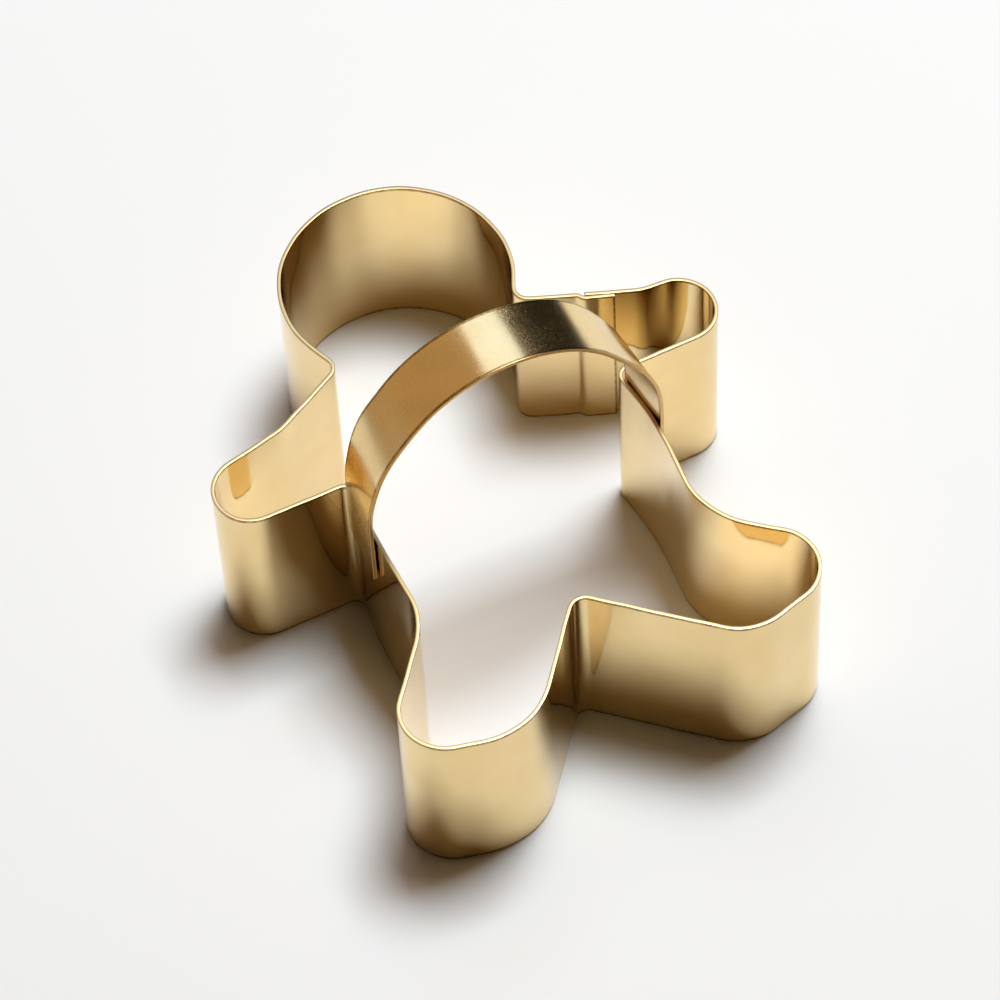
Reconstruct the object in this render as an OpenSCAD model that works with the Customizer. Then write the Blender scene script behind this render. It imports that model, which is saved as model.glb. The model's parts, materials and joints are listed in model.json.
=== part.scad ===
// Cookie cutter in the outline of a gingerbread figure, with an arched strap handle.
// One thin strip stands on edge and is bent round a row of pins, then closed with a lap seam.
// Millimetres. The cut is made by the lower edge at z = 0, and the head points along +Y.

/* [Cutter] */
// Length over the head and the feet
cutter_len = 82; // [74:1:110]
// Width over the hands
cutter_w = 68.5; // [62:0.5:90]
// Width over the side walls at their widest place
body_w = 38.3; // [34:0.1:41]
// Width over the legs
legs_w = 55.3; // [51:0.1:62]
// Height of the strip, which sets how deep it cuts
band_h = 25; // [16:1:40]
// Thickness of the strip
band_t = 0.5; // [0.3:0.05:0.8]

/* [Bends] */
// Radius of the head, like every radius here to the middle of the strip
head_r = 14.7; // [12:0.1:16]
// Radius inside the neck
neck_r = 1.8; // [1:0.1:3]
// How far below the head's middle the neck sits, as an angle at that middle
neck_angle = 30; // [25:1:36]
// Radius of the shallow bend over the elbow
elbow_r = 7; // [4:0.5:12]
// Radius of a hand
hand_r = 4.75; // [4:0.05:6]
// Radius in the armpit
armpit_r = 1.6; // [1:0.1:2.4]
// How far the side wall swells outwards between the armpit and the hip
waist_swell = 0.7; // [0.4:0.1:1.2]
// Radius of the hip
hip_r = 11; // [8:0.5:14]
// Radius of a heel, on the outside of a leg
heel_r = 5.5; // [4.5:0.1:7]
// Radius under the toes of the left foot
left_toe_r = 10.5; // [8:0.5:12]
// Radius under the toes of the right foot
right_toe_r = 7.5; // [6:0.5:10]
// Radius between the legs
crotch_r = 1.9; // [1:0.1:3]

/* [Lap seam] */
// Length over which the two ends of the strip lie on each other
lap_len = 3.5; // [3:0.5:6]
// Gap between the two plies, filled at the weld spots
lap_gap = 0.1; // [0.05:0.01:0.2]
// Length of the step that sets the inner end inwards by its own thickness
step_len = 1.8; // [1.4:0.1:3]

/* [Handle] */
// Width of the strap
strap_w = 8.4; // [6:0.1:12]
// Thickness of the strap
strap_t = 0.5; // [0.3:0.05:0.8]
// Rise of the handle's top over the strip's upper edge
handle_rise = 23.4; // [20:0.1:32]
// Radius of the strap's three bends, to its middle
arch_r = 17; // [12:0.5:18]
// How far a foot of the strap reaches down the side wall
foot_len = 7.7; // [5:0.1:12]
// Gap between a foot and the widest place of the side wall
seat_gap = 0.1; // [0.05:0.01:0.3]
// Gap between the strap's far edge and the inside corner of the armpit
tuck_gap = 0.1; // [0.05:0.05:0.5]

/* [Weld spots] */
// Diameter of a spot
weld_d = 2.5; // [1.5:0.1:3]
// Distance from the strap's near edge to the edge of a foot's spot
weld_margin = 0.5; // [0.3:0.1:1]

/* [Hidden] */
// Largest angle between two points of a bend
bend_step = 5;
// Angle by which a bend may fall short of a straight run and still count as one
bend_slack = 10;
// Number of straight parts in the lap's step
step_parts = 8;
$fn = 48;
gold = [0.83, 0.68, 0.40];

half_len = (cutter_len - band_t) / 2;
half_w = (cutter_w - band_t) / 2;
wall_x = (body_w - band_t) / 2;
heel_x = (legs_w - band_t) / 2 - heel_r;

// The strip is bent by hand, so its two sides differ a little. These tables hold the left value,
// then the right one, as shares of half the length in Y and of half the width in X.
arm_level_shares = [0.010, 0.020];
elbow_x_shares = [0.73, 0.83];
heel_lift_shares = [0.023, 0.031];
crotch_x_share = -0.03;
crotch_y_share = -0.72;
// Lift of the elbow over the top of the hand, as a share of the rise from there to the neck
elbow_lift_shares = [0.21, 0.023];
// Place of the toe bend, as a share of the heel's distance from the middle
toe_x_shares = [0.81, 0.79];
// Place of the side wall's widest point, as a share of the way from the armpit to the hip
waist_shares = [0.51, 0.45];
// Share of the swell by which the wall has come in again where the hip begins
hip_in_shares = [0.1, 1.05];
// Gap between the hip's pin and the heel's pin, as a share of the hip's radius
hip_gap_shares = [0.17, 0.05];
// Difference of the neck's angle from neck_angle, as a share of it
neck_turn_shares = [-0.017, 0.043];
// Gap between the neck's pin and the head's circle, as a share of the neck's radius
neck_gap_share = 0.06;
// Share of the largest swell radius that leaves straight runs to both neighbours
swell_share = 0.9;
// Place of the lap's inner end, as a share of the straight run from the elbow to the neck
lap_start_share = 0.14;
// Height at which the strap's legs start to bend, as a share of the crown pin's height over the strip
bend_rise_share = 0.5;
// Largest share of the strap's half span, and of its rise, that the radius of its bends can take
bend_limit_share = 0.95;

LEFT = 0;
RIGHT = 1;
sides = [-1, 1];

// Plain vector helpers: unit vector, the direction to the right of a vector, and the angle of a vector
function unit(v) = v / norm(v);
function right_of(v) = [v.y, -v.x];
function heading(v) = atan2(v.y, v.x);
function reversed(list) = [for (i = [len(list) - 1:-1:0]) list[i]];

// A pin is [place, radius, turn]. The middle line of a strip runs straight from pin to pin and wraps
// round each, anticlockwise where turn is 1 and clockwise where it is -1.
function run_dir(a, b) =
    let (
        across = b[0] - a[0],
        lean = (a[2] * a[1] - b[2] * b[1]) / norm(across)
    )
    sqrt(1 - lean * lean) * unit(across) - lean * right_of(unit(across));

function sweep_angle(turn, dir_in, dir_out) =
    let (angle = turn * (heading(dir_out) - heading(dir_in)) + bend_slack)
    turn * ((angle % 360 + 360) % 360 - bend_slack);

function bend_points(pin, dir_in, dir_out) =
    let (
        sweep = sweep_angle(pin[2], dir_in, dir_out),
        steps = ceil(abs(sweep) / bend_step)
    )
    [
        for (i = [0:1:steps])
            let (angle = heading(dir_in) + sweep * i / max(steps, 1))
            pin[0] + pin[2] * pin[1] * [sin(angle), -cos(angle)]
    ];

// All bends of a row of pins, where dirs holds the run into the first pin, then the run out of each
function bends(pins, dirs) = [
    for (i = [0:1:len(pins) - 1], p = bend_points(pins[i], dirs[i], dirs[i + 1])) p
];

// The line at a distance to the right of a path, with mitred corners, so that a strip keeps its thickness
function side_line(path, distance) = [
    for (i = [0:1:len(path) - 1])
        let (
            before = max(i, 1),
            after = min(i + 1, len(path) - 1),
            right_in = right_of(unit(path[before] - path[before - 1])),
            right_out = right_of(unit(path[after] - path[after - 1])),
            mitre = unit(right_in + right_out)
        )
        path[i] + distance / (mitre * right_in) * mitre
];

function strip_outline(path, thickness) =
    concat(side_line(path, thickness / 2), reversed(side_line(path, -thickness / 2)));

// Pins of one side, from the neck to the toes. Pins that the strip wraps in opposite turns are placed
// by the gap between them, so that a straight run always fits.
head_at = [0, half_len - head_r];

function arm_level(side) = arm_level_shares[side] * half_len;
function armpit_at(side) = [wall_x - waist_swell + armpit_r, arm_level(side) - armpit_r];

function neck_at(side) =
    let (angle = neck_angle * (1 + neck_turn_shares[side]))
    head_at + (head_r + neck_r * (1 + neck_gap_share)) * [cos(angle), -sin(angle)];

function heel_at(side) = [heel_x, -half_len + heel_r + heel_lift_shares[side] * half_len];

function hip_at(side) =
    let (
        x = wall_x - hip_in_shares[side] * waist_swell + hip_r,
        reach = hip_r * (1 + hip_gap_shares[side]) + heel_r,
        heel = heel_at(side)
    )
    [x, heel.y + sqrt(reach * reach - (x - heel.x) * (x - heel.x))];

// Radius at which an arc of the given depth still clears a neighbour of radius r at a distance along the wall
function arc_limit(distance, depth, r) = (distance * distance + depth * depth) / (2 * depth) - r;

function waist_pin(side) =
    let (
        top_y = armpit_at(side).y,
        low_y = hip_at(side).y,
        y = top_y + waist_shares[side] * (low_y - top_y),
        up = arc_limit(top_y - y, waist_swell, armpit_r),
        down = arc_limit(y - low_y, hip_in_shares[side] * waist_swell, hip_r),
        r = swell_share * min(up, down)
    )
    [[wall_x - r, y], r, 1];

function side_pins(side) =
    let (
        hand = [half_w - hand_r, arm_level(side) + hand_r],
        neck = neck_at(side),
        lift = elbow_lift_shares[side] * (neck.y - neck_r - hand.y - hand_r),
        elbow = [elbow_x_shares[side] * half_w, hand.y + hand_r + lift + elbow_r],
        toe_r = side == LEFT ? left_toe_r : right_toe_r,
        right_side = [
            [neck, neck_r, -1],
            [elbow, elbow_r, -1],
            [hand, hand_r, 1],
            [armpit_at(side), armpit_r, -1],
            waist_pin(side),
            [hip_at(side), hip_r, -1],
            [heel_at(side), heel_r, 1],
            [[toe_x_shares[side] * heel_x, -half_len + toe_r], toe_r, 1]
        ]
    )
    [for (pin = right_side) [[sides[side] * pin[0].x, pin[0].y], pin[1], pin[2]]];

// The strip's middle line starts at the lap, passes the right neck and runs anticlockwise back to the lap
head_pin = [head_at, head_r, 1];
crotch_pin = [[crotch_x_share * half_w, crotch_y_share * half_len], crotch_r, -1];
up_right = reversed(side_pins(RIGHT));
last = len(up_right) - 1;
band_pins = concat(
    [up_right[last], head_pin],
    side_pins(LEFT),
    [crotch_pin],
    [for (i = [0:1:last - 1]) up_right[i]]
);
band_dirs = [
    for (i = [0:1:len(band_pins)])
        run_dir(band_pins[(i + len(band_pins) - 1) % len(band_pins)], band_pins[i % len(band_pins)])
];
band_bends = bends(band_pins, band_dirs);

lap_dir = band_dirs[0];
lap_in = -right_of(lap_dir);
lap_offset = band_t + lap_gap;
run_from = band_bends[len(band_bends) - 1];
inner_end = run_from + lap_start_share * (band_bends[0] - run_from);
outer_end = inner_end + lap_len * lap_dir;
// Past the outer ply's end the inner ply steps out again along half a cosine wave
lap_step = [
    for (i = [0:1:step_parts])
        let (share = i / step_parts)
        outer_end + share * step_len * lap_dir + lap_offset * (1 + cos(180 * share)) / 2 * lap_in
];
band_path = concat([inner_end + lap_offset * lap_in], lap_step, band_bends, [outer_end]);

// The strap's feet stand outside the side walls, with its far edge tucked into the armpits
foot_x = wall_x + band_t / 2 + seat_gap;
leg_x = foot_x + strap_t / 2;
foot_z = band_h - foot_len;

function tuck_limit(side) =
    let (
        corner_r = armpit_r - band_t / 2,
        aside = max(0, armpit_at(side).x - foot_x)
    )
    armpit_at(side).y + sqrt(corner_r * corner_r - aside * aside);

strap_far_y = min(tuck_limit(LEFT), tuck_limit(RIGHT)) - tuck_gap;
strap_near_y = strap_far_y - strap_w;

mid_rise = handle_rise - strap_t / 2;
bend_r = min(arch_r, bend_limit_share * min(leg_x, mid_rise));
crown_rise = mid_rise - bend_r;
haunch_x = leg_x - bend_r;
haunch_z = band_h + bend_rise_share * crown_rise;
strap_pins = [
    [[-haunch_x, haunch_z], bend_r, -1],
    [[0, band_h + crown_rise], bend_r, -1],
    [[haunch_x, haunch_z], bend_r, -1]
];
strap_dirs = [
    [0, 1],
    run_dir(strap_pins[0], strap_pins[1]),
    run_dir(strap_pins[1], strap_pins[2]),
    [0, -1]
];
strap_path = concat([[-leg_x, foot_z]], bends(strap_pins, strap_dirs), [[leg_x, foot_z]]);

// Strip on edge, bent to the figure's outline, with its two ends lapped on the right shoulder
module cutter_band() {
    color(gold)
        linear_extrude(band_h)
            polygon(strip_outline(band_path, band_t));
}

// Arched strap with two flat feet
module handle_strap() {
    color(gold)
        translate([0, strap_far_y, 0])
            rotate([90, 0, 0])
                linear_extrude(strap_w)
                    polygon(strip_outline(strap_path, strap_t));
}

// Two spots, one above the other, between the plies of the lap
module seam_welds() {
    spot_at = inner_end + lap_len / 2 * lap_dir + band_t / 2 * lap_in;
    for (z = [band_h / 4, band_h * 3 / 4])
        color(gold)
            translate([spot_at.x, spot_at.y, z])
                rotate([0, 0, heading(lap_in)])
                    rotate([0, 90, 0])
                        cylinder(d = weld_d, h = lap_gap);
}

// One spot between a foot and the side wall, near the edge of the strap where the wall comes closest
module foot_weld(side) {
    spot_y = strap_near_y + weld_margin + weld_d / 2;
    color(gold)
        difference() {
            translate([sides[side] * wall_x, spot_y, band_h - foot_len / 2])
                rotate([0, sides[side] * 90, 0])
                    cylinder(d = weld_d, h = foot_x - wall_x);
            cutter_band();
        }
}

module left_foot_weld() {
    foot_weld(LEFT);
}

module right_foot_weld() {
    foot_weld(RIGHT);
}

cutter_band();
handle_strap();
seam_welds();
left_foot_weld();
right_foot_weld();
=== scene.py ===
"""A cookie cutter in the outline of a gingerbread figure, dressed for rendering.

The cutter is bent from two pieces of thin gold-toned sheet: a strip on edge, closed with a lap seam on one
shoulder, and a strap that arches over it as a handle. Each is a sheet section with rounded edges, carried
along its middle line. A middle line runs straight from pin to pin of a bending jig and wraps round each.

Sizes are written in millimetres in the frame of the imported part, and turned to metres as a mesh is made:
+Z up from the cutting edge, +Y towards the figure's head, and the origin in the middle of the outline.
"""

from __future__ import annotations

import json
import logging
import math
from collections.abc import Callable, Iterable
from dataclasses import dataclass, replace
from enum import Enum

import bpy
import numpy as np
from mathutils import Matrix, Vector

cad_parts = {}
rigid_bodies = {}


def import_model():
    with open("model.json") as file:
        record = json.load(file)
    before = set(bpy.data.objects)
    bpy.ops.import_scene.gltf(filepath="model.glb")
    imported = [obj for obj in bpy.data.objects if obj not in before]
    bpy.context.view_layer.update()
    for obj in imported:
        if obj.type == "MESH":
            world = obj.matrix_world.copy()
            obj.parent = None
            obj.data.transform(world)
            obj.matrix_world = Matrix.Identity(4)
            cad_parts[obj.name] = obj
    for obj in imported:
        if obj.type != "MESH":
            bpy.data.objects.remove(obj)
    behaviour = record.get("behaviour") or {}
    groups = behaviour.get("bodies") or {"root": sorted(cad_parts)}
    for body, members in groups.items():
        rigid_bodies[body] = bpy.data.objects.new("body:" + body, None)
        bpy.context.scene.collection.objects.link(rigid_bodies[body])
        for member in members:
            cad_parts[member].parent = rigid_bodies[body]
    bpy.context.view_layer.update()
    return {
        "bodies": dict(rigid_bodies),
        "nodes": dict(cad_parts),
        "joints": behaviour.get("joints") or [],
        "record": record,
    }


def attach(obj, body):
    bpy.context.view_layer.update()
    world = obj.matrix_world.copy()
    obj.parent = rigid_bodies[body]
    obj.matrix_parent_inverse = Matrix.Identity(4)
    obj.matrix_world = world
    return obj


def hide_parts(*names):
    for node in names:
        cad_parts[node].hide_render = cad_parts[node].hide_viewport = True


LOG = logging.getLogger("cookie_cutter")
MM = 0.001  # metres in a millimetre
ROOT = "root"

BEND_STEP = 1.0  # largest angle between two points of a bend, in degrees
BELL_CUT = 3.0  # reaches at which an easing bell curve is cut off
# How far a bend may turn the wrong way before it counts as nearly a whole turn.
TURN_SLACK = math.radians(10.0)

Colour = tuple[float, float, float]
Bend = tuple[float, float, float]  # the middle of a pin, and the radius of the wrap round it
Span = tuple[float, float]
Grid = np.ndarray
Socket = bpy.types.NodeSocket
Value = float | Socket


class Turn(Enum):
    """Which way a strip wraps round a pin."""

    LEFT = 1
    RIGHT = -1


class Side(Enum):
    """One side of the figure, seen from above with the head away."""

    LEFT = -1
    RIGHT = 1


# Bent lines


@dataclass(frozen=True)
class Pin:
    """A round pin of the bending jig, in millimetres.

    Args:
        x: First coordinate of the pin's middle.
        y: Second coordinate of the pin's middle.
        radius: Radius at which the strip's middle line wraps the pin.
        turn: Which way the strip wraps it.
    """

    x: float
    y: float
    radius: float
    turn: Turn

    @property
    def middle(self) -> np.ndarray:
        """The pin's middle as a vector."""
        return np.array([self.x, self.y])


def right_of(vector: np.ndarray) -> np.ndarray:
    """A vector, or each row of an array of them, turned a quarter to the right."""
    return np.stack([vector[..., 1], -vector[..., 0]], axis=-1)


def run_direction(first: Pin, second: Pin) -> np.ndarray:
    """Direction of the straight run that leaves one pin and meets the next.

    The run leans from the line through both middles by the angle whose sine is the difference of the signed
    radii over the distance.

    Args:
        first: The pin that the run leaves.
        second: The pin that the run meets.

    Returns:
        A unit vector.
    """
    across = second.middle - first.middle
    distance = float(np.linalg.norm(across))
    across = across / distance
    lean = (first.turn.value * first.radius - second.turn.value * second.radius) / distance
    return math.sqrt(1.0 - lean * lean) * across - lean * right_of(across)


def bend_points(pin: Pin, way_in: np.ndarray, way_out: np.ndarray) -> Grid:
    """Points of the arc in which a strip wraps a pin.

    The strip's direction goes evenly from the way in to the way out, and each point lies a radius from the
    pin's middle, square to that direction, away from the side that the strip turns to.

    Args:
        pin: The pin.
        way_in: Direction of the run into the pin.
        way_out: Direction of the run out of it.

    Returns:
        An array of points, one a row.
    """
    start = math.atan2(way_in[1], way_in[0])
    sweep = pin.turn.value * (math.atan2(way_out[1], way_out[0]) - start) + TURN_SLACK
    sweep = pin.turn.value * (sweep % math.tau - TURN_SLACK)
    steps = max(1, math.ceil(abs(math.degrees(sweep)) / BEND_STEP))
    angle = start + sweep * np.linspace(0.0, 1.0, steps + 1)
    right = np.stack([np.sin(angle), -np.cos(angle)], axis=1)
    return pin.middle + pin.turn.value * pin.radius * right


def bent_line(pins: list[Pin], ways: list[np.ndarray]) -> Grid:
    """The line that wraps one pin after the other, with straight runs between the bends.

    Args:
        pins: The pins in order.
        ways: Direction of the run into each pin, and last that of the run out of the last pin.

    Returns:
        An array of points, one a row.
    """
    return np.concatenate([bend_points(pin, ways[i], ways[i + 1]) for i, pin in enumerate(pins)])


def along(line: Grid) -> np.ndarray:
    """Distance along a line at each of its points: the sum of the steps before it."""
    return np.concatenate([[0.0], np.cumsum(np.linalg.norm(np.diff(line, axis=0), axis=1))])


def at_distance(rows: Grid, distance: np.ndarray, where: np.ndarray) -> Grid:
    """Rows that go with a line's points, taken at given distances along it.

    A row is that of the point before and that of the point after, each by its nearness.

    Args:
        rows: The row of each point, such as the point itself.
        distance: Distance along the line at each of its points.
        where: The distances that are wanted.

    Returns:
        An array with a row for each of them.
    """
    return np.stack([np.interp(where, distance, side) for side in rows.T], axis=1)


def even_line(line: Grid, spacing: float) -> Grid:
    """The same line with points at an even spacing.

    Args:
        line: Points, one a row.
        spacing: Distance between two new points, in the line's own unit.

    Returns:
        The new points, with both ends kept.
    """
    distance = along(line)
    count = max(2, round(distance[-1] / spacing)) + 1
    return at_distance(line, distance, np.linspace(0.0, distance[-1], count))


def eased_line(line: Grid, spacing: float, reach: float) -> Grid:
    """The line as springy sheet takes it, with its bends easing in and out.

    Each point becomes the mean of its neighbours, weighted by a bell curve of the given reach. Both ends
    are first run on straight, so that they stay where they are.

    Args:
        line: Evenly spaced points, one a row.
        spacing: Their distance.
        reach: Width of the bell curve, in the same unit.

    Returns:
        The eased points.
    """
    half = math.ceil(BELL_CUT * reach / spacing)
    weights = np.exp(-0.5 * (np.arange(-half, half + 1) * spacing / reach) ** 2)
    weights /= weights.sum()
    back = np.arange(half, 0, -1)[:, None]
    before = line[0] - back * (line[1] - line[0])
    after = line[-1] + back[::-1] * (line[-1] - line[-2])
    padded = np.concatenate([before, line, after])
    return np.stack([np.convolve(side, weights, mode="valid") for side in padded.T], axis=1)


# Sheet surfaces


@dataclass(frozen=True)
class SheetSection:
    """Cross-section of a cut sheet: a long flat box with slightly rounded edges.

    Args:
        thickness: Thickness of the sheet, in millimetres.
        width: Its width, in millimetres.
        edge_radius: Radius of the rounding left by the cut.
        corner_steps: Steps in the rounding of each long edge's corner.
        end_steps: Steps in the rounding of each end.
        face_steps: Parts into which each flat face is cut between its outer rows.
        rows: Distances from each cut edge at which a face gets a row of its own.
        wear: Distance from a cut edge over which its wear fades by a factor e.
    """

    thickness: float
    width: float
    edge_radius: float = 0.08
    corner_steps: int = 4
    end_steps: int = 4
    face_steps: int = 14
    rows: tuple[float, ...] = (0.11, 0.28, 0.55, 0.95)
    wear: float = 0.3

    def half(self) -> tuple[np.ndarray, np.ndarray]:
        """One side of the section, from the flat of the lower edge to the flat of the upper one.

        A quarter circle leads from the lower flat to the face and another from the face to the upper flat.

        Returns:
            The distance from the middle plane, and the distance up the width, at each point.
        """
        r = self.edge_radius
        out = self.thickness / 2
        quarter = np.linspace(0.0, math.pi / 2, self.corner_steps + 1)
        low_x = out - r + r * np.sin(quarter)
        low_z = r - r * np.cos(quarter)
        near = np.array(self.rows)
        inner = np.linspace(self.rows[-1], self.width - self.rows[-1], self.face_steps + 1)[1:-1]
        face_z = np.concatenate([near, inner, self.width - near[::-1]])
        x = np.concatenate([low_x, np.full(face_z.size, out), low_x[::-1]])
        z = np.concatenate([low_z, face_z, self.width - low_z[::-1]])
        return x, z

    def ring(self) -> tuple[np.ndarray, np.ndarray]:
        """The whole outline: up the right side, then down the left one, with the values of half()."""
        x, z = self.half()
        return np.concatenate([x, -x[::-1]]), np.concatenate([z, z[::-1]])

    def rim(self) -> np.ndarray:
        """How much each point of the ring belongs to a cut edge.

        It is one on the edge, and falls over the faces by a factor e for each distance of wear.

        Returns:
            The share of each point, from 0 to 1.
        """
        _, z = self.ring()
        depth = np.minimum(z, self.width - z) - self.edge_radius
        return np.exp(-np.maximum(depth, 0.0) / self.wear)


@dataclass(frozen=True)
class Ripple:
    """A long shallow wave that rolling and bending leave in a sheet, in millimetres.

    Args:
        height: Height of the wave over the even surface.
        length: Wavelength along the sheet.
        slant: Shift along the sheet for each millimetre across it.
        phase: Where it starts, in radians.
    """

    height: float
    length: float
    slant: float
    phase: float


def rippled(waves: tuple[Ripple, ...], distance: Grid, up: Grid) -> Grid:
    """How far the waves set the sheet out: the sum of each height times the sine of its phase.

    Args:
        waves: The waves.
        distance: Distance along the sheet.
        up: Distance across it.

    Returns:
        The distance along the sheet's right normal at each point.
    """
    lift = np.zeros(np.broadcast(distance, up).shape)
    for wave in waves:
        lift += wave.height * np.sin(math.tau * (distance + wave.slant * up) / wave.length + wave.phase)
    return lift


def smooth_step(value: Grid, low: Grid, high: Grid) -> Grid:
    """Zero below low, one above high, and between them three squares of the share less two cubes of it."""
    share = np.clip((value - low) / (high - low), 0.0, 1.0)
    return share * share * (3.0 - 2.0 * share)


def tube_faces(rows: int, columns: int, u: np.ndarray, v: np.ndarray) -> tuple[Grid, Grid, Grid]:
    """Quads of a tube of points whose two ends are closed.

    Along the tube, a quad joins two neighbours of one row to the same two of the next. On an end of n
    columns, rung j joins column j to column n - 1 - j, so that the end is a ladder of quads.

    Args:
        rows: Rows of points, which follow the length.
        columns: Columns of points, which go round the section.
        u: Map coordinate of each row.
        v: Map coordinate of each column, with one more for the step back to the first.

    Returns:
        The point numbers of each quad, and the two map coordinates of its corners.
    """
    i, j = np.meshgrid(np.arange(rows - 1), np.arange(columns), indexing="ij")
    k = (j + 1) % columns
    row, next_row = i * columns, (i + 1) * columns
    side = np.stack([row + j, next_row + j, next_row + k, row + k], axis=-1)
    side_u = np.stack([u[i], u[i + 1], u[i + 1], u[i]], axis=-1)
    side_v = np.stack([v[j], v[j], v[j + 1], v[j + 1]], axis=-1)
    rung = np.arange(columns // 2 - 1)
    near = np.stack([rung, rung + 1, columns - 2 - rung, columns - 1 - rung], axis=-1)
    far = near[:, ::-1] + (rows - 1) * columns
    near_v = v[near]
    quads = np.concatenate([side.reshape(-1, 4), near, far])
    map_u = np.concatenate([side_u.reshape(-1, 4), np.full(near.shape, u[0]), np.full(far.shape, u[-1])])
    map_v = np.concatenate([side_v.reshape(-1, 4), near_v, near_v[:, ::-1]])
    return quads, map_u, map_v


def mesh_from_grid(name: str, points: Grid, u: np.ndarray, v: np.ndarray, rim: Grid) -> bpy.types.Object:
    """A closed tube of sheet from a grid of points, with its faces pointing outwards.

    The sum of each face's middle times its normal is six times the volume inside, so where that is less
    than nothing, every face is turned round.

    Args:
        name: Name of the piece.
        points: Array of rows by columns by 3, in metres.
        u: Map coordinate of each row.
        v: Map coordinate of each column, with one more for the step back to the first.
        rim: How much each point belongs to a cut edge, kept as the attribute "rim".

    Returns:
        The new object, linked to the scene, at the origin.
    """
    quads, map_u, map_v = tube_faces(*points.shape[:2], u, v)
    flat = points.reshape(-1, 3)
    corner = flat[quads]
    normal = np.cross(corner[:, 2] - corner[:, 0], corner[:, 3] - corner[:, 1])
    volume = float(np.einsum("ij,ij->", corner.mean(axis=1), normal))
    if volume < 0.0:
        quads, map_u, map_v = quads[:, ::-1], map_u[:, ::-1], map_v[:, ::-1]

    mesh = bpy.data.meshes.new(name)
    mesh.vertices.add(len(flat))
    mesh.vertices.foreach_set("co", flat.astype(np.float32).ravel())
    mesh.loops.add(quads.size)
    mesh.loops.foreach_set("vertex_index", quads.astype(np.int32).ravel())
    mesh.polygons.add(len(quads))
    mesh.polygons.foreach_set("loop_start", np.arange(0, quads.size, 4, dtype=np.int32))
    mesh.polygons.foreach_set("use_smooth", np.ones(len(quads), dtype=bool))
    layer = mesh.uv_layers.new(name="sheet")
    layer.data.foreach_set("uv", np.stack([map_u, map_v], axis=-1).astype(np.float32).ravel())
    mesh.attributes.new("rim", "FLOAT", "POINT").data.foreach_set("value", rim.astype(np.float32).ravel())
    mesh.update(calc_edges=True)
    mesh.validate()
    piece = bpy.data.objects.new(name, mesh)
    bpy.context.scene.collection.objects.link(piece)
    return piece


def rounded_rows(distance: np.ndarray, radius: float, steps: int) -> tuple[np.ndarray, np.ndarray]:
    """The rows of a sheet whose two ends are rounded: those of its middle line, with some more at each end.

    At each step of a quarter turn, a row lies one less the turn's cosine from the end, and its section is
    drawn in by one less the turn's sine, both times the radius.

    Args:
        distance: Distance along the middle line at each of its points.
        radius: Radius of the rounding.
        steps: Steps in each rounding.

    Returns:
        Where each row lies along the line, and how far its section is drawn in.
    """
    length = distance[-1]
    turn = np.linspace(0.0, math.pi / 2, steps + 1)
    reach, depth = radius - radius * np.cos(turn), radius - radius * np.sin(turn)
    inner = distance[(distance > radius * 2) & (distance < length - radius * 2)]
    where = np.concatenate([reach, inner, (length - reach)[::-1]])
    inset = np.concatenate([depth, np.zeros(inner.size), depth[::-1]])
    return where, inset


def sheet_piece(
    name: str,
    line: Grid,
    section: SheetSection,
    waves: tuple[Ripple, ...],
    place: Callable[[Grid, Grid, Grid], Grid],
) -> bpy.types.Object:
    """A sheet with rounded ends, its section carried along a middle line.

    A point is the line's point, plus the section's first value and the waves' height along the line's right
    normal, plus its second value across the sheet. Towards each end the section is drawn in along a quarter
    circle.

    Args:
        name: Name of the piece.
        line: Middle line in its plane, in millimetres.
        section: The sheet's section.
        waves: The waves of its surface.
        place: Turns the line's two plane coordinates and the distance across the sheet into points of the
            part's frame.

    Returns:
        The new object.
    """
    distance = along(line)
    where, inset = rounded_rows(distance, section.edge_radius, section.end_steps)
    middle = at_distance(line, distance, where)
    tangent = at_distance(np.gradient(line, distance, axis=0), distance, where)
    tangent /= np.linalg.norm(tangent, axis=1)[:, None]
    normal = right_of(tangent)
    plain_x, plain_z = section.ring()
    half_x, half_z = section.thickness / 2, section.width / 2
    across = plain_x[None, :] * (1.0 - inset / half_x)[:, None]
    up = half_z + (plain_z[None, :] - half_z) * (1.0 - inset / half_z)[:, None]
    lift = rippled(waves, where[:, None], up)
    plane = middle[:, None, :] + (across + lift)[..., None] * normal[:, None, :]
    points = place(plane[..., 0], plane[..., 1], up)
    end_rim = np.exp(-np.minimum(where, distance[-1] - where) / section.wear)
    rim = np.maximum(section.rim()[None, :], end_rim[:, None])
    round_trip = np.stack([np.append(plain_x, plain_x[0]), np.append(plain_z, plain_z[0])], axis=1)
    return mesh_from_grid(name, points * MM, where * MM, along(round_trip) * MM, rim)


# Finishes


class Mix(Enum):
    """What a Mix node mixes: its data type, the inputs of its two sides, and its output."""

    VALUES = ("FLOAT", 2, 3, 0)
    COLOURS = ("RGBA", 6, 7, 2)


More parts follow.
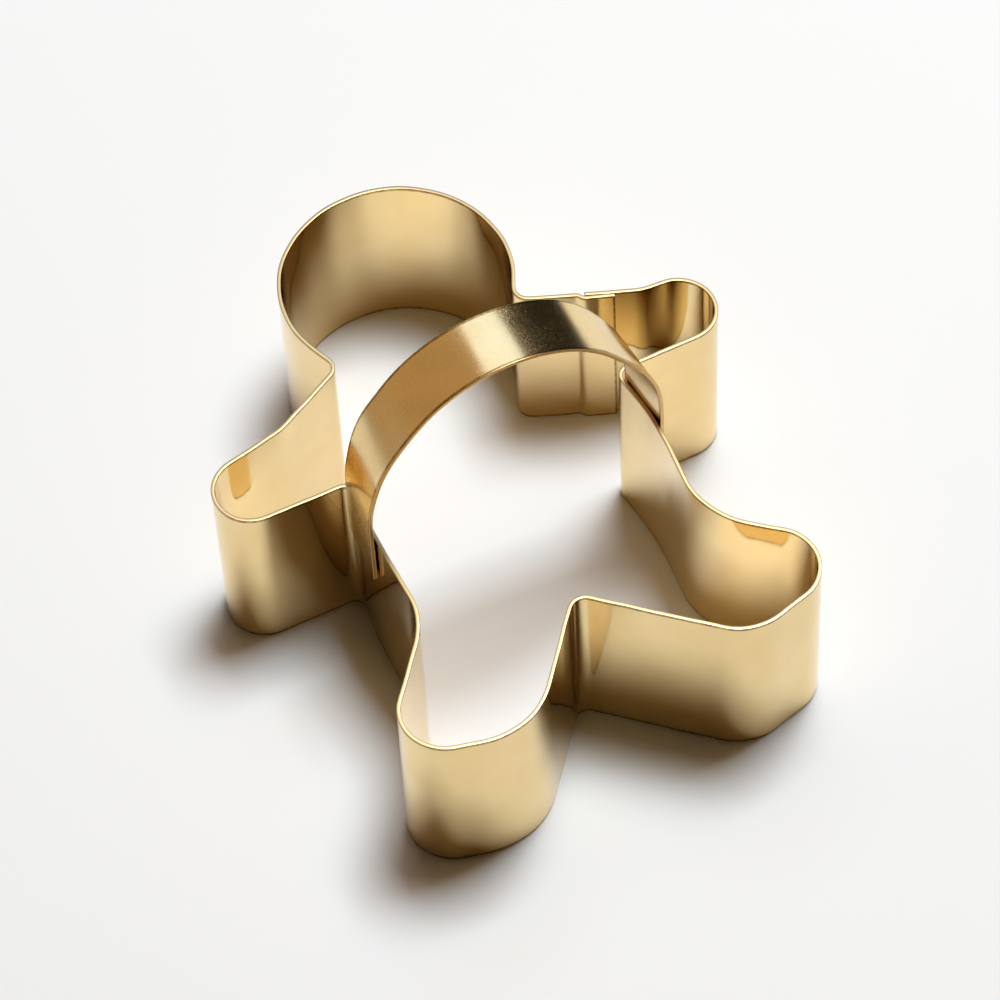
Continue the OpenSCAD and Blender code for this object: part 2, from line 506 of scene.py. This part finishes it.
class Graph:
    """A node tree with short ways to add and link its nodes.

    Args:
        tree: The tree to fill.
    """

    def __init__(self, tree: bpy.types.NodeTree) -> None:
        """Keep the tree and empty it."""
        self.tree = tree
        tree.nodes.clear()

    def add(
        self, kind: str, inputs: dict[str | int, object] | None = None, **settings: object
    ) -> bpy.types.Node:
        """Add a node.

        Args:
            kind: Blender's name of the node type.
            inputs: Values or source sockets, by input name or index.
            settings: Attributes of the node.

        Returns:
            The node.
        """
        node = self.tree.nodes.new(kind)
        for name, value in settings.items():
            setattr(node, name, value)
        for name, value in (inputs or {}).items():
            socket = node.inputs[name]
            if isinstance(value, Socket):
                self.tree.links.new(value, socket)
            else:
                socket.default_value = value
        return node

    def math(self, operation: str, *values: Value) -> Socket:
        """The result of a Math node on values or sockets."""
        return self.add("ShaderNodeMath", dict(enumerate(values)), operation=operation).outputs[0]

    def noise(self, place: Socket, detail: float, scale: float = 1.0) -> Socket:
        """Noise from 0 to 1 at a place."""
        node = self.add("ShaderNodeTexNoise", {"Vector": place, "Scale": scale, "Detail": detail})
        return node.outputs["Fac"]

    def shrunk(self, place: Socket, size: Value) -> Socket:
        """A place divided by a size.

        Args:
            place: The place.
            size: The size.

        Returns:
            The place times one over the size.
        """
        share = self.math("DIVIDE", 1.0, size)
        node = self.add("ShaderNodeVectorMath", {0: place, "Scale": share}, operation="SCALE")
        return node.outputs["Vector"]

    def ramp(self, value: Value, low: float, high: float) -> Socket:
        """A smooth step, from zero at a low value to one at a high one.

        Args:
            value: The value that climbs the step.
            low: Where the step begins.
            high: Where it is full. Where this is the lower of the two, the step goes down.

        Returns:
            The height on the step, from 0 to 1.
        """
        ends = {"Value": value, "From Min": low, "From Max": high}
        node = self.add("ShaderNodeMapRange", ends, interpolation_type="SMOOTHSTEP")
        return node.outputs["Result"]

    def mixed(self, kind: Mix, share: Value, first: object, second: object) -> Socket:
        """What lies a share of the way from a first side to a second.

        Args:
            kind: Whether the sides are values or colours.
            share: The share.
            first: The first side, which a share of zero gives.
            second: The second side, which a share of one gives.

        Returns:
            The mixed value or colour.
        """
        data_type, first_input, second_input, output = kind.value
        inputs = {"Factor": share, first_input: first, second_input: second}
        return self.add("ShaderNodeMix", inputs, data_type=data_type).outputs[output]

    def between(self, share: Value, first: Value, second: Value) -> Socket:
        """A value a share of the way from a first one to a second."""
        return self.mixed(Mix.VALUES, share, first, second)

    def blend(self, share: Value, first: Colour | Socket, second: Colour | Socket) -> Socket:
        """A colour a share of the way from a first one to a second. A tuple is a plain colour."""
        sides = [(*side, 1.0) if isinstance(side, tuple) else side for side in (first, second)]
        return self.mixed(Mix.COLOURS, share, *sides)

    def use(self, group: bpy.types.NodeTree, inputs: dict[str, Value]) -> dict[str, Socket]:
        """Place a group, and return its outputs by name."""
        node = self.add("ShaderNodeGroup", inputs, node_tree=group)
        return {socket.name: socket for socket in node.outputs}

    def put_out(self, values: dict[str, Socket]) -> None:
        """Link sockets to the outputs of a group."""
        self.add("NodeGroupOutput", values)


class Effects:
    """Effects that all the finishes share, each a node group that is built once.

    The pairs of numbers say where a mask begins and where it is full, apart from the last.
    """

    SPECK: Span = (0.52, 0.68)  # specks, in the noise of the grain
    CLOUD: Span = (0.3, 0.7)  # clouds, and patches along a cut, each in its own noise
    SMUDGE: Span = (0.5, 0.66)  # smudges, in their noise
    WORN: Span = (0.25, 0.95)  # worn faces, in the rim attribute
    PAINTED_SHADE_BAND: Span = (0.32, 0.5)  # the painted shade line beside a cut, in the rim attribute
    CUT: Span = (0.92, 0.99)  # the cut itself, in the rim attribute
    PAINTED_SHADE_STRENGTH: Span = (0.55, 0.95)  # share of the painted shade line where no patch is, and on a full one

    def __init__(self) -> None:
        """Build the groups."""
        self.drawn_lines = self._drawn_lines()
        self.fine_grain = self._fine_grain()
        self.handling_marks = self._handling_marks()
        self.cut_edge = self._cut_edge()

    @staticmethod
    def _group(
        name: str, inputs: dict[str, float | Colour], outputs: tuple[str, ...]
    ) -> tuple[Graph, dict[str, Socket]]:
        """Start a group.

        Args:
            name: Its name.
            inputs: Default values by input name. A tuple makes a vector input.
            outputs: Names of its outputs, all of them values.

        Returns:
            The group's graph, and its input sockets by name.
        """
        tree = bpy.data.node_groups.new(name, "ShaderNodeTree")
        for label, value in inputs.items():
            kind = "NodeSocketVector" if isinstance(value, tuple) else "NodeSocketFloat"
            tree.interface.new_socket(label, in_out="INPUT", socket_type=kind).default_value = value
        for label in outputs:
            tree.interface.new_socket(label, in_out="OUTPUT", socket_type="NodeSocketFloat")
        graph = Graph(tree)
        entry = graph.add("NodeGroupInput")
        return graph, {label: entry.outputs[label] for label in inputs}

    def _drawn_lines(self) -> bpy.types.NodeTree:
        """Lines drawn out along one direction of the sheet: noise on its map, stretched by two lengths.

        Returns:
            The group.
        """
        graph, given = self._group(
            "drawn_lines", {"Map": (0.0, 0.0, 0.0), "Along": 0.02, "Across": 0.0002}, ("Height",)
        )
        stretch = graph.add("ShaderNodeCombineXYZ", {"X": given["Along"], "Y": given["Across"], "Z": 1.0})
        place = graph.add(
            "ShaderNodeVectorMath", {0: given["Map"], 1: stretch.outputs["Vector"]}, operation="DIVIDE"
        )
        graph.put_out({"Height": graph.noise(place.outputs["Vector"], detail=2.0)})
        return graph.tree

    def _fine_grain(self) -> bpy.types.NodeTree:
        """The fine unevenness of plated sheet: even noise of a given size, and its rare high specks.

        Returns:
            The group.
        """
        graph, given = self._group(
            "fine_grain", {"Place": (0.0, 0.0, 0.0), "Size": 0.0002}, ("Height", "Speck")
        )
        place = graph.shrunk(given["Place"], given["Size"])
        height = graph.noise(place, detail=1.0)
        graph.put_out({"Height": height, "Speck": graph.ramp(height, *self.SPECK)})
        return graph.tree

    def _handling_marks(self) -> bpy.types.NodeTree:
        """Soft clouds of wear, and smudges left by fingers: two broad noises, each with a mask.

        Returns:
            The group.
        """
        graph, given = self._group(
            "handling_marks", {"Place": (0.0, 0.0, 0.0), "Size": 0.006}, ("Cloud", "Smudge")
        )
        place = graph.shrunk(given["Place"], given["Size"])
        cloud = graph.noise(place, detail=3.0)
        smear = graph.noise(place, detail=4.0, scale=0.55)
        graph.put_out({"Cloud": graph.ramp(cloud, *self.CLOUD), "Smudge": graph.ramp(smear, *self.SMUDGE)})
        return graph.tree

    def _cut_edge(self) -> bpy.types.NodeTree:
        """Where the sheet was cut, a painted shade line beside the cut, and where its faces are worn there.

        Each is a mask of the rim attribute, and patches of noise thin the last two.

        Returns:
            The group.
        """
        graph, given = self._group(
            "cut_edge", {"Rim": 0.0, "Place": (0.0, 0.0, 0.0), "Size": 0.0008}, ("Cut", "Line", "Worn")
        )
        place = graph.shrunk(given["Place"], given["Size"])
        patch = graph.ramp(graph.noise(place, detail=3.0), *self.CLOUD)
        worn = graph.math("MULTIPLY", graph.ramp(given["Rim"], *self.WORN), patch)
        # Painted shade: a dark line along the face beside each cut, standing in for the dark reflections at
        # a rounded edge.
        shade_band = graph.ramp(given["Rim"], *self.PAINTED_SHADE_BAND)
        line = graph.math("MULTIPLY", shade_band, graph.between(patch, *self.PAINTED_SHADE_STRENGTH))
        graph.put_out({"Cut": graph.ramp(given["Rim"], *self.CUT), "Line": line, "Worn": worn})
        return graph.tree


@dataclass(frozen=True)
class GoldSheet:
    """Polished gold-toned sheet, with its rolling lines, flutes, grain, marks of handling, cut edges, and a
    painted shade line beside each cut edge.

    Args:
        name: Name of the material.
        colour: Colour of the metal.
        deep: Colour of its slightly deeper patches.
        painted_shade_colour: Colour of the painted shade line beside a cut edge, standing in for the dark
            reflections at a rounded edge.
        rim_colour: Colour of the cut edges.
        roughness: Roughness where it is clean.
        cloud_roughness: Roughness added in the softest patches.
        smudge_roughness: Roughness added by a smudge.
        speck_roughness: Roughness added by a speck of the grain.
        rim_roughness: Roughness of the cut edges.
        line_size: Length of the rolling lines, and the distance between them, in metres.
        line_height: Their height, in metres.
        flute_size: Width and length of the flutes that bending leaves across the sheet, in metres.
        flute_height: Their height, in metres.
        grain_size: Size of the grain, in metres.
        grain_height: Its height, in metres.
    """

    name: str
    colour: Colour = (0.865, 0.66, 0.34)
    deep: Colour = (0.83, 0.62, 0.30)
    # Painted shade: colour of the dark line beside a cut edge.
    painted_shade_colour: Colour = (0.25, 0.15, 0.045)
    rim_colour: Colour = (0.62, 0.46, 0.23)
    roughness: float = 0.035
    cloud_roughness: float = 0.035
    smudge_roughness: float = 0.06
    speck_roughness: float = 0.02
    rim_roughness: float = 0.3
    line_size: Span = (0.02, 0.0002)
    line_height: float = 4.0e-7
    flute_size: Span = (0.0022, 0.012)
    flute_height: float = 3.0e-6
    grain_size: float = 2.5e-4
    grain_height: float = 3.0e-7

    def build(self, effects: Effects) -> bpy.types.Material:
        """The material, with a colour, a roughness and a height that the shared effects change in turn.

        Args:
            effects: The shared effects.

        Returns:
            The material, for a mesh with the map "sheet" and the attribute "rim", or with neither.
        """
        material = bpy.data.materials.new(self.name)
        material.use_nodes = True
        graph = Graph(material.node_tree)
        place = graph.add("ShaderNodeTexCoord").outputs["Object"]
        sheet = graph.add("ShaderNodeUVMap", uv_map="sheet").outputs["UV"]
        rim = graph.add("ShaderNodeAttribute", attribute_name="rim", attribute_type="GEOMETRY")
        lines, flutes = (
            graph.use(effects.drawn_lines, {"Map": sheet, "Along": size[0], "Across": size[1]})
            for size in (self.line_size, self.flute_size)
        )
        grain = graph.use(effects.fine_grain, {"Place": place, "Size": self.grain_size})
        marks = graph.use(effects.handling_marks, {"Place": place})
        edge = graph.use(effects.cut_edge, {"Rim": rim.outputs["Fac"], "Place": place})

        tint = graph.blend(marks["Cloud"], self.colour, self.deep)
        # Painted shade: a dark line beside each cut edge, in place of the dark reflections at a rounded
        # edge.
        tint = graph.blend(edge["Line"], tint, self.painted_shade_colour)
        tint = graph.blend(edge["Cut"], tint, self.rim_colour)

        rough = graph.math("MULTIPLY_ADD", marks["Cloud"], self.cloud_roughness, self.roughness)
        rough = graph.math("MULTIPLY_ADD", marks["Smudge"], self.smudge_roughness, rough)
        rough = graph.math("MULTIPLY_ADD", grain["Speck"], self.speck_roughness, rough)
        rough = graph.math("MULTIPLY_ADD", edge["Worn"], self.smudge_roughness, rough)
        rough = graph.between(edge["Cut"], rough, self.rim_roughness)

        height = graph.math("MULTIPLY", lines["Height"], self.line_height)
        height = graph.math("MULTIPLY_ADD", flutes["Height"], self.flute_height, height)
        height = graph.math("MULTIPLY_ADD", grain["Height"], self.grain_height, height)
        bump = graph.add("ShaderNodeBump", {"Strength": 1.0, "Distance": 1.0, "Height": height})

        shader = graph.add(
            "ShaderNodeBsdfPrincipled",
            {"Base Color": tint, "Metallic": 1.0, "Roughness": rough, "Normal": bump.outputs["Normal"]},
        )
        output = graph.add("ShaderNodeOutputMaterial")
        graph.tree.links.new(shader.outputs["BSDF"], output.inputs["Surface"])
        return material


BAND_GOLD = GoldSheet("band_gold")
STRAP_GOLD = GoldSheet(
    "strap_gold",
    roughness=0.15,
    cloud_roughness=0.03,
    rim_colour=(0.6, 0.4, 0.17),
    speck_roughness=0.1,
    flute_height=1.0e-6,
    grain_size=1.4e-4,
    grain_height=3.1e-6,
)
WELD_GOLD = GoldSheet(
    "weld_gold",
    colour=(0.80, 0.58, 0.29),
    deep=(0.66, 0.46, 0.22),
    roughness=0.28,
    cloud_roughness=0.12,
    grain_size=1.2e-4,
    grain_height=2.5e-6,
)


# Pieces


@dataclass(frozen=True)
class BentSheet:
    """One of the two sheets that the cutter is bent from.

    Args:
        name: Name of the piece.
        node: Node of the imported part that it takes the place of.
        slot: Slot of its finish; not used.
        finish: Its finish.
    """

    name: str
    node: str
    slot: str
    finish: GoldSheet

    def dress(self, piece: bpy.types.Object, effects: Effects) -> None:
        """Give the built sheet its finish, and put it in the place of its node.

        Args:
            piece: The sheet.
            effects: The shared effects.
        """
        piece.data.materials.append(self.finish.build(effects))
        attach(piece, ROOT)
        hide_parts(self.node)
        LOG.info("%s: %d faces", piece.name, len(piece.data.polygons))


@dataclass(frozen=True)
class SidePins:
    """The bends of one side of the figure, in millimetres, with x counted outwards from the middle.

    Args:
        neck: Bend in the neck.
        elbow: Bend over the elbow.
        hand: Bend round the hand.
        armpit: Bend in the armpit.
        waist: Swell of the side wall.
        hip: Bend at the hip.
        heel: Bend round the heel.
        toe: Bend under the toes.
    """

    neck: Bend
    elbow: Bend
    hand: Bend
    armpit: Bend
    waist: Bend
    hip: Bend
    heel: Bend
    toe: Bend

    def pins(self, side: Side) -> list[Pin]:
        """The pins in order from the neck to the toes.

        Args:
            side: The side of the figure, which sets the sign of x.

        Returns:
            The pins, each with the turn that the strip takes round it on its way anticlockwise.
        """
        bends = (
            (self.neck, Turn.RIGHT),
            (self.elbow, Turn.RIGHT),
            (self.hand, Turn.LEFT),
            (self.armpit, Turn.RIGHT),
            (self.waist, Turn.LEFT),
            (self.hip, Turn.RIGHT),
            (self.heel, Turn.LEFT),
            (self.toe, Turn.LEFT),
        )
        return [Pin(side.value * x, y, radius, turn) for (x, y, radius), turn in bends]


LEFT_SIDE = SidePins(
    neck=(14.456, 17.873, 1.8),
    elbow=(24.82, 18.2025, 7.0),
    hand=(29.25, 5.1575, 4.75),
    armpit=(19.8, -1.1925, 1.6),
    waist=(-25.774, -9.633, 44.674),
    hip=(29.83, -17.7425, 11.0),
    heel=(21.9, -34.313, 5.5),
    toe=(17.74, -30.25, 10.5),
)
RIGHT_SIDE = SidePins(
    neck=(14.192, 17.424, 1.8),
    elbow=(28.22, 17.437, 7.0),
    hand=(29.25, 5.565, 4.75),
    armpit=(19.8, -0.785, 1.6),
    waist=(-21.114, -8.785, 40.014),
    hip=(29.165, -18.562, 11.0),
    heel=(21.9, -33.987, 5.5),
    toe=(17.3, -33.25, 7.5),
)


@dataclass(frozen=True)
class CutterBand(BentSheet):
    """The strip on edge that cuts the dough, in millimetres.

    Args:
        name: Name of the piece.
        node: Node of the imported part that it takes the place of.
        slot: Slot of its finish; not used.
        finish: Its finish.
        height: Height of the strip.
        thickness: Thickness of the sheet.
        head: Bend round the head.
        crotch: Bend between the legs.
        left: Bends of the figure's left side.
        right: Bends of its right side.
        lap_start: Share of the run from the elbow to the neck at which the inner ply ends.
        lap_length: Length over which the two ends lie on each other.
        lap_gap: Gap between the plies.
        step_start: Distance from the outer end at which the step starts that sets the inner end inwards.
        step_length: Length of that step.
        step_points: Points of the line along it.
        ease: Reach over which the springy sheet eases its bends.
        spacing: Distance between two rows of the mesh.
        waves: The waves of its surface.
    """

    name: str = "figure_strip"
    node: str = "cutter_band"
    slot: str = "band"
    finish: GoldSheet = BAND_GOLD
    height: float = 25.0
    thickness: float = 0.5
    head: Bend = (0.0, 26.05, 14.7)
    crotch: Bend = (-1.02, -29.34, 1.9)
    left: SidePins = LEFT_SIDE
    right: SidePins = RIGHT_SIDE
    lap_start: float = 0.176
    lap_length: float = 3.8
    lap_gap: float = 0.02
    step_start: float = 0.05
    step_length: float = 0.9
    step_points: int = 25
    ease: float = 0.2
    spacing: float = 0.2
    waves: tuple[Ripple, ...] = (
        Ripple(height=0.02, length=9.7, slant=0.05, phase=0.4),
        Ripple(height=0.012, length=5.3, slant=-0.04, phase=1.9),
        Ripple(height=0.03, length=23.0, slant=0.12, phase=2.6),
    )

    def middle_line(self) -> Grid:
        """The strip's middle line, from its inner end through the lap, round the figure, to its outer end.

        The lap lies on the straight run from the right elbow to the neck. Its inner ply is set inwards by
        the sheet's thickness and the gap, and comes back to the run along half a wave of a cosine.

        Returns:
            An array of evenly spaced points, one a row.
        """
        up_right = self.right.pins(Side.RIGHT)[::-1]
        head = Pin(*self.head, Turn.LEFT)
        crotch = Pin(*self.crotch, Turn.RIGHT)
        pins = [up_right[-1], head, *self.left.pins(Side.LEFT), crotch, *up_right[:-1]]
        ways = [run_direction(pins[i - 1], pins[i % len(pins)]) for i in range(len(pins) + 1)]
        body = bent_line(pins, ways)
        way = ways[0]
        inwards = -right_of(way)
        offset = self.thickness + self.lap_gap
        inner_end = body[-1] + self.lap_start * (body[0] - body[-1])
        outer_end = inner_end + self.lap_length * way
        share = np.linspace(0.0, 1.0, self.step_points)[:, None]
        reach = self.step_start + share * self.step_length
        step = outer_end + reach * way + offset * (1 + np.cos(math.pi * share)) / 2 * inwards
        line = np.concatenate([[inner_end + offset * inwards], step, body, [outer_end]])
        return eased_line(even_line(line, self.spacing), self.spacing, self.ease)

    @staticmethod
    def place(x: Grid, y: Grid, up: Grid) -> Grid:
        """Points at the plane's own x and y, with the width along z."""
        return np.stack([x, y, up], axis=-1)

    def build(self) -> bpy.types.Object:
        """The strip, with its middle line laid out in X and Y and its width up Z."""
        section = SheetSection(self.thickness, self.height)
        return sheet_piece(self.name, self.middle_line(), section, self.waves, self.place)


@dataclass(frozen=True)
class HandleStrap(BentSheet):
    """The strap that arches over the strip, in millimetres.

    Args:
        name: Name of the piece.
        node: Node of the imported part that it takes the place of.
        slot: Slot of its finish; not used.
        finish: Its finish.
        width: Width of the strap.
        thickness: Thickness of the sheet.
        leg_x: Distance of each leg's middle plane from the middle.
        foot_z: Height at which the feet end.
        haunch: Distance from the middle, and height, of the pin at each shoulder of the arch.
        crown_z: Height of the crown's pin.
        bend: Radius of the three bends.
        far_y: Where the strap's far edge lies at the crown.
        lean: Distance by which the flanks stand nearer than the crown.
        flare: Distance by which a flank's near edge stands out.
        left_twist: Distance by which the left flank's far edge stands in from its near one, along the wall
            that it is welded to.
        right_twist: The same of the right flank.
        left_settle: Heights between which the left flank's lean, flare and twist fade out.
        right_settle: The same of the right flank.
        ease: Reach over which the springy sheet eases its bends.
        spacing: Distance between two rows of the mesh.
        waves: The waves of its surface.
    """

    name: str = "arched_strap"
    node: str = "handle_strap"
    slot: str = "strap"
    finish: GoldSheet = STRAP_GOLD
    width: float = 8.4
    thickness: float = 0.5
    leg_x: float = 19.5
    foot_z: float = 17.3
    haunch: Span = (2.5, 28.075)
    crown_z: float = 31.15
    bend: float = 17.0
    far_y: float = -0.06
    lean: float = 0.57
    flare: float = 0.1
    left_twist: float = 0.63
    right_twist: float = 0.75
    left_settle: Span = (31.5, 40.0)
    right_settle: Span = (36.0, 43.5)
    ease: float = 1.2
    spacing: float = 0.25
    waves: tuple[Ripple, ...] = (
        Ripple(height=0.008, length=6.1, slant=0.35, phase=0.7),
        Ripple(height=0.012, length=13.7, slant=-0.2, phase=2.2),
    )

    def middle_line(self) -> Grid:
        """The strap's middle line in the plane of X and Z, from the left foot over the arch to the right.

        Returns:
            An array of evenly spaced points, one a row.
        """
        x, z = self.haunch
        pins = [
            Pin(-x, z, self.bend, Turn.RIGHT),
            Pin(0.0, self.crown_z, self.bend, Turn.RIGHT),
            Pin(x, z, self.bend, Turn.RIGHT),
        ]
        ways = [
            np.array([0.0, 1.0]),
            run_direction(pins[0], pins[1]),
            run_direction(pins[1], pins[2]),
            np.array([0.0, -1.0]),
        ]
        left_foot, right_foot = [[-self.leg_x, self.foot_z]], [[self.leg_x, self.foot_z]]
        line = np.concatenate([left_foot, bent_line(pins, ways), right_foot])
        return eased_line(even_line(line, self.spacing), self.spacing, self.ease)

    def place(self, x: Grid, z: Grid, up: Grid) -> Grid:
        """Points of the strap, with its width along Y and each flank turned along its wall.

        The share of a flank is one below its settling heights and none above them, with a smooth step
        between. By that share a point moves outwards by the flare, nearer by the lean, and inwards by the
        twist times its own share of the way from the near edge to the far one.

        Args:
            x: Place across the arch.
            z: Height.
            up: Distance from the strap's far edge.

        Returns:
            The points, in the part's frame.
        """
        low, high = (np.where(x < 0.0, *pair) for pair in zip(self.left_settle, self.right_settle))
        flank = 1.0 - smooth_step(z, low, high)
        twist = np.where(x < 0.0, self.left_twist, self.right_twist)
        turned = np.sign(x) * flank * (self.flare - twist * (1.0 - up / self.width))
        return np.stack([x + turned, self.far_y - self.lean * flank - up, z], axis=-1)

    def build(self) -> bpy.types.Object:
        """The strap, with its middle line laid out in X and Z."""
        section = SheetSection(self.thickness, self.width)
        return sheet_piece(self.name, self.middle_line(), section, self.waves, self.place)


@dataclass(frozen=True)
class WeldSpots:
    """The weld spots of the seam and the feet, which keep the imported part's own shapes.

    Args:
        nodes: Their nodes.
        finish: Their finish.
    """

    nodes: tuple[str, ...] = ("seam_welds", "left_foot_weld", "right_foot_weld")
    finish: GoldSheet = WELD_GOLD

    def dress(self, frame: dict, effects: Effects) -> None:
        """Give the welds their finish.

        Args:
            frame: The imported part, as loaded.
            effects: The shared effects.
        """
        spot = self.finish.build(effects)
        for node in self.nodes:
            welds = frame["nodes"][node]
            welds.data.materials.clear()
            welds.data.materials.append(spot)
            LOG.info("%s: dressed", node)


# Studio


def direction(azimuth: float, elevation: float) -> Vector:
    """The direction at an azimuth, in degrees from +Y towards +X, and an elevation, in degrees."""
    a, e = math.radians(azimuth), math.radians(elevation)
    return Vector((math.sin(a) * math.cos(e), math.cos(a) * math.cos(e), math.sin(e)))


@dataclass(frozen=True)
class Softbox:
    """A soft area lamp that points at the object.

    Args:
        name: Name of the lamp.
        azimuth: Its direction from the object, in degrees from +Y towards +X.
        elevation: Its height over the floor, in degrees.
        roll: Turn of its face about the way it points, in degrees.
        distance: Distance from the object, in metres.
        size: Width and height of its face, in metres.
        power: Power in watts.
        colour: Colour of its light.
    """

    name: str
    azimuth: float
    elevation: float
    roll: float
    distance: float
    size: Span
    power: float
    colour: Colour = (1.0, 1.0, 1.0)

    def build(self) -> bpy.types.Object:
        """The lamp, turned towards the object.

        Returns:
            The lamp's object.
        """
        light = bpy.data.lights.new(self.name, "AREA")
        light.shape = "RECTANGLE"
        light.size, light.size_y = self.size
        light.energy = self.power
        light.color = self.colour
        lamp = bpy.data.objects.new(self.name, light)
        lean = math.pi / 2 - math.radians(self.elevation)
        turn = math.pi - math.radians(self.azimuth)
        facing = Matrix.Rotation(turn, 4, "Z") @ Matrix.Rotation(lean, 4, "X")
        place = Matrix.Translation(self.distance * direction(self.azimuth, self.elevation))
        lamp.matrix_world = place @ facing @ Matrix.Rotation(math.radians(self.roll), 4, "Z")
        bpy.context.scene.collection.objects.link(lamp)
        return lamp


KEY_BOX = Softbox(
    name="key_box",
    azimuth=60.0,
    elevation=72.2,
    roll=60.0,
    distance=1.3,
    size=(0.42, 0.42),
    power=15.4,
    colour=(0.76, 0.892, 0.98),
)
WARM_BOX = replace(
    KEY_BOX, name="warm_box", distance=1.35, size=(0.78, 0.78), power=4.8, colour=(1.0, 0.54, 0.2)
)
STRAP_BOX = Softbox(
    name="strap_box",
    azimuth=17.0,
    elevation=53.5,
    roll=20.0,
    distance=1.3,
    size=(0.6, 0.3),
    power=1.0,
    colour=(0.6, 0.74, 1.0),
)


@dataclass(frozen=True)
class Sky:
    """The studio round the table: a dim room with a warm strip of wall, which lies on a cone round +Y.

    Args:
        room: Colour of the room.
        warm: Colour of the warm strip.
        cone: Share of +Y in a direction on the strip's middle.
        cone_reach: Departures from it at which the strip starts to fade and has faded.
        side_reach: Shares of -X in a direction at which the strip begins and is full.
    """

    room: Colour = (0.013, 0.010, 0.006)
    warm: Colour = (0.50, 0.335, 0.18)
    cone: float = 0.529
    cone_reach: Span = (0.09, 0.18)
    side_reach: Span = (-0.1, 0.1)

    def build(self) -> bpy.types.World:
        """The world: the room's colour, blended to the strip's by the direction's shares of +Y and -X.

        Returns:
            The world, set as the scene's own.
        """
        world = bpy.data.worlds.new("studio")
        bpy.context.scene.world = world
        world.use_nodes = True
        graph = Graph(world.node_tree)
        place = graph.add("ShaderNodeTexCoord").outputs["Generated"]
        share = graph.add("ShaderNodeSeparateXYZ", {"Vector": place}).outputs
        off = graph.math("ABSOLUTE", graph.math("SUBTRACT", share["Y"], self.cone))
        near = graph.ramp(off, *self.cone_reach[::-1])
        aside = graph.ramp(graph.math("MULTIPLY", share["X"], -1.0), *self.side_reach)
        colour = graph.blend(graph.math("MULTIPLY", near, aside), self.room, self.warm)
        shade = graph.add("ShaderNodeBackground", {"Color": colour, "Strength": 1.0})
        output = graph.add("ShaderNodeOutputWorld")
        graph.tree.links.new(shade.outputs["Background"], output.inputs["Surface"])
        return world


@dataclass(frozen=True)
class PhotoCamera:
    """The camera that took the photograph, solved from the strip's two rims.

    Args:
        frame_px: Width of the frame, in pixels.
        focal_px: Focal length, in pixels of that frame.
        sensor: Width of the sensor, in millimetres.
        clip: Distances between which things show, in metres.
        place: Its place, in millimetres.
        right: The frame's horizontal direction.
        up: The frame's upward direction.
    """

    frame_px: float = 1000.0
    focal_px: float = 4768.165
    sensor: float = 36.0
    clip: Span = (0.01, 20.0)
    place: tuple[float, float, float] = (-133.73, -315.89, 497.76)
    right: tuple[float, float, float] = (0.899379, -0.435901, -0.03328)
    up: tuple[float, float, float] = (0.374219, 0.728284, 0.574075)

    def build(self) -> bpy.types.Object:
        """The camera, which looks against the cross product of its right and up directions.

        Returns:
            The camera's object, set as the scene's own.
        """
        data = bpy.data.cameras.new("photo_camera")
        data.sensor_width = self.sensor
        data.lens = self.focal_px / self.frame_px * self.sensor
        data.clip_start, data.clip_end = self.clip
        camera = bpy.data.objects.new("photo_camera", data)
        right = np.array(self.right) / np.linalg.norm(self.right)
        up = np.array(self.up) - np.dot(self.up, right) * right
        up /= np.linalg.norm(up)
        back = np.cross(right, up)
        matrix = np.eye(4)
        matrix[:3, 0], matrix[:3, 1], matrix[:3, 2] = right, up, back
        matrix[:3, 3] = np.array(self.place) * MM
        camera.matrix_world = Matrix(matrix.tolist())
        bpy.context.scene.collection.objects.link(camera)
        bpy.context.scene.camera = camera
        return camera


@dataclass(frozen=True)
class Studio:
    """A plain pale floor, the room round it, and soft lamps.

    The key lamp is two boxes in one direction: a small cool one and a wide warm one, which together are
    white on open floor and leave the rim of a shadow warm.

    Args:
        floor_size: Side of the floor, in metres.
        floor_colour: Colour of the floor.
        floor_roughness: Roughness of the floor.
        sky: The room round the table.
        boxes: The lamps.
    """

    floor_size: float = 6.0
    floor_colour: Colour = (0.96, 0.96, 0.96)
    floor_roughness: float = 0.9
    sky: Sky = Sky()
    boxes: tuple[Softbox, ...] = (KEY_BOX, WARM_BOX, STRAP_BOX)

    def floor(self) -> bpy.types.Object:
        """The floor: a square of matt white paper at height 0, with no sheen.

        Returns:
            The floor's object.
        """
        half = self.floor_size / 2
        square = [(-half, -half, 0.0), (half, -half, 0.0), (half, half, 0.0), (-half, half, 0.0)]
        mesh = bpy.data.meshes.new("floor")
        mesh.from_pydata(square, [], [(0, 1, 2, 3)])
        floor = bpy.data.objects.new("floor", mesh)
        bpy.context.scene.collection.objects.link(floor)
        material = bpy.data.materials.new("floor_paper")
        material.use_nodes = True
        shader = material.node_tree.nodes["Principled BSDF"]
        shader.inputs["Base Color"].default_value = (*self.floor_colour, 1.0)
        shader.inputs["Roughness"].default_value = self.floor_roughness
        shader.inputs["Specular IOR Level"].default_value = 0.0
        mesh.materials.append(material)
        return floor

    def build(self) -> None:
        """Make the floor, the room and the lamps, and show colours as they are."""
        self.floor()
        self.sky.build()
        for box in self.boxes:
            box.build()
        bpy.context.scene.view_settings.view_transform = "Standard"


# The whole


def main() -> None:
    """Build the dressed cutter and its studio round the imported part."""
    logging.basicConfig(level=logging.INFO, format="%(name)s: %(message)s")
    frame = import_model()
    PhotoCamera().build()
    Studio().build()
    effects = Effects()
    for sheet in (CutterBand(), HandleStrap()):
        sheet.dress(sheet.build(), effects)
    WeldSpots().dress(frame, effects)


if __name__ == "__main__":
    main()
